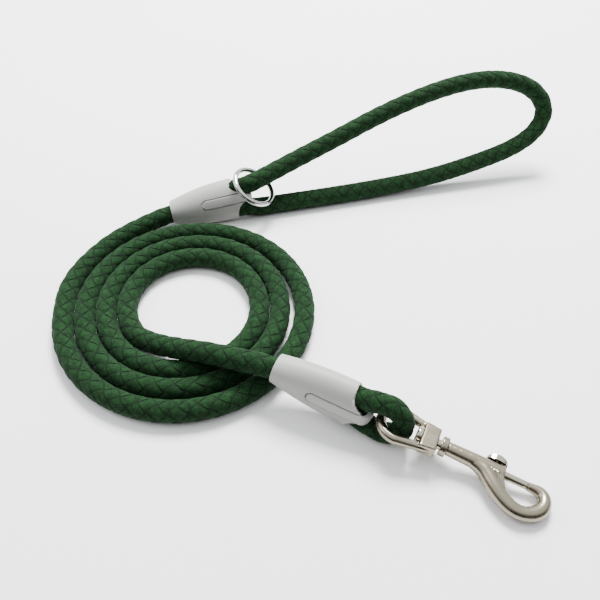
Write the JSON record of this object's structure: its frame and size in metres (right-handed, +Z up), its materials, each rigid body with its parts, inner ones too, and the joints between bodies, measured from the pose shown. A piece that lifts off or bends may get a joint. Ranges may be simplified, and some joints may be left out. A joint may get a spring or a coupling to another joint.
{
  "type": "training leash",
  "caption": "Braided rope training leash coiled flat, with a hand loop, an accessory ring and a swivel bolt snap, each end's splice in a moulded sleeve.",
  "frame": {"origin": "on the floor, under the middle of the box round everything except the coiled lead", "axes": "+Z up, with the leash lying on a floor. The hand loop reaches towards +X and +Y and the snap towards +X and -Y"},
  "size_m": [0.3206, 0.2989, 0.066],
  "materials": {
    "braided_rope": "matte suede-like microfibre braid, dark green",
    "sleeve_plastic": "fine satin, light grey",
    "key_plastic": "fine satin, light grey",
    "crimp_metal": "pressed, plain",
    "ring_chrome": "polished",
    "snap_nickel": "satin nickel on a zinc casting",
    "bolt_steel": "bright nickel",
    "spring_steel": "plain spring wire"
  },
  "bodies": {
    "leash": {"lead_coil": "braided_rope", "lead_in": "braided_rope", "lead_out": "braided_rope", "hand_loop": "braided_rope", "clip_loop": "braided_rope", "handle_sleeve": "sleeve_plastic", "handle_key": "key_plastic", "handle_splice": "braided_rope", "handle_crimp": "crimp_metal", "clip_sleeve": "sleeve_plastic", "clip_key": "key_plastic", "clip_splice": "braided_rope", "clip_crimp": "crimp_metal"},
    "ring": {"accessory_ring": "ring_chrome"},
    "eye": {"swivel_eye": "snap_nickel"},
    "snap": {"snap_body": "snap_nickel", "swivel_post": "snap_nickel", "swivel_washer": "snap_nickel", "bolt_spring": "spring_steel"},
    "gate": {"bolt": "bolt_steel", "thumb_knob": "bolt_steel"}
  },
  "joints": [
    {"name": "ring_slide", "type": "slide", "parent": "leash", "child": "ring", "axis": [0.6004, 0.7555, 0.2622], "range_m": [0, 0.004]},
    {"name": "eye_pivot", "type": "hinge", "parent": "leash", "child": "eye", "pos_m": [-0.00633, -0.10167, 0.01465], "axis": [-0.3945, -0.8992, 0.189], "range_deg": [0, 100]},
    {"name": "swivel", "type": "hinge", "parent": "eye", "child": "snap", "pos_m": [0.0237, -0.1158, 0.0101], "axis": [0.8965, -0.4218, -0.1357], "continuous": true},
    {"name": "gate_slide", "type": "slide", "parent": "snap", "child": "gate", "axis": [-0.8965, 0.4218, 0.1357], "range_m": [0, 0.0095], "stiffness_N_per_m": 600, "springref_m": -0.008, "deforming": ["bolt_spring"]}
  ]
}
